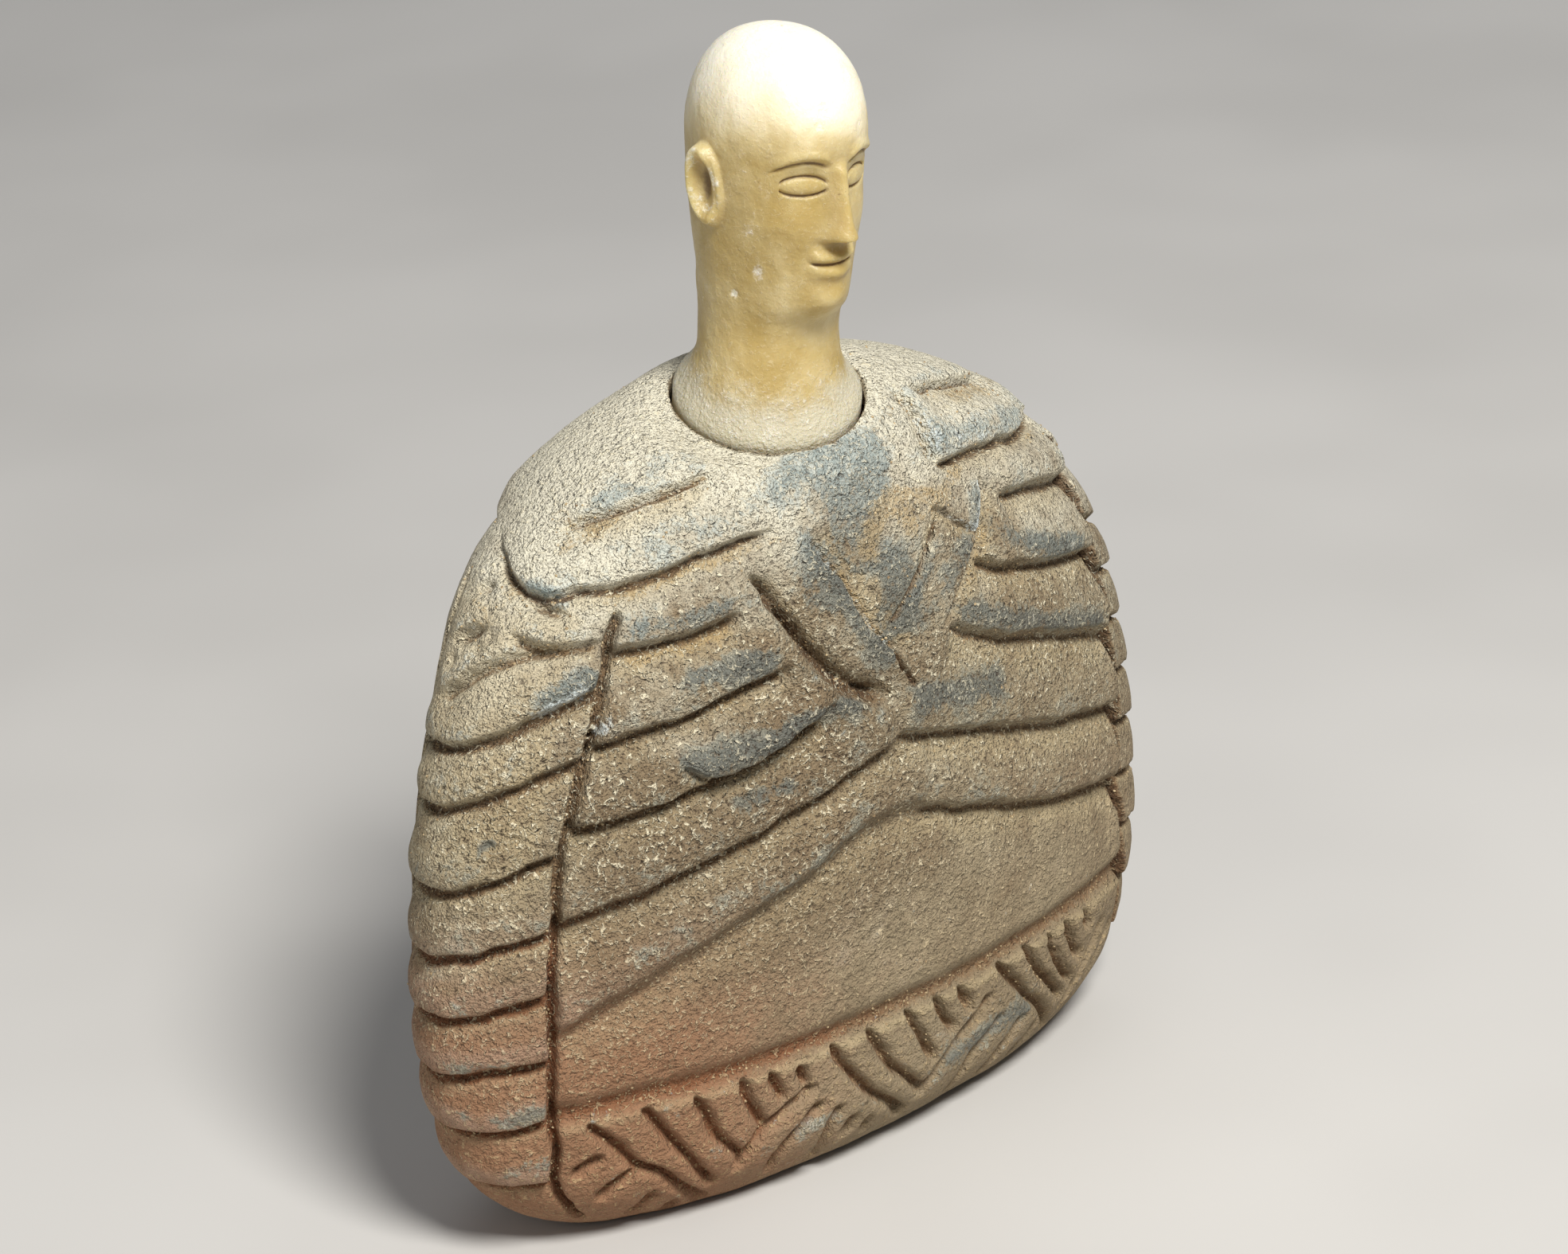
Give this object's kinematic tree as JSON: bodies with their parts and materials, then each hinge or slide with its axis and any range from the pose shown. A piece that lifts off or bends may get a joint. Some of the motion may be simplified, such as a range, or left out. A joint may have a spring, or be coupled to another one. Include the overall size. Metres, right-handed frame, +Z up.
{
  "type": "composite stone idol",
  "caption": "Small standing idol: a domed, flattened body carved as a ribbed robe in dark stone, with a separate pale head whose flared foot rests in a socket on top.",
  "frame": {"origin": "middle of the bounding box in plan, on the plane of the flat base", "axes": "+Z up along the body, -Y the carved front, +X to the right when the front is seen"},
  "size_m": [0.075, 0.0302, 0.0948],
  "materials": {
    "dark_stone": "matte, dusty, finely pitted",
    "pale_stone": "worn polish, slightly waxy"
  },
  "bodies": {
    "root": {"robe_body": "dark_stone", "head": "pale_stone"}
  },
  "joints": []
}
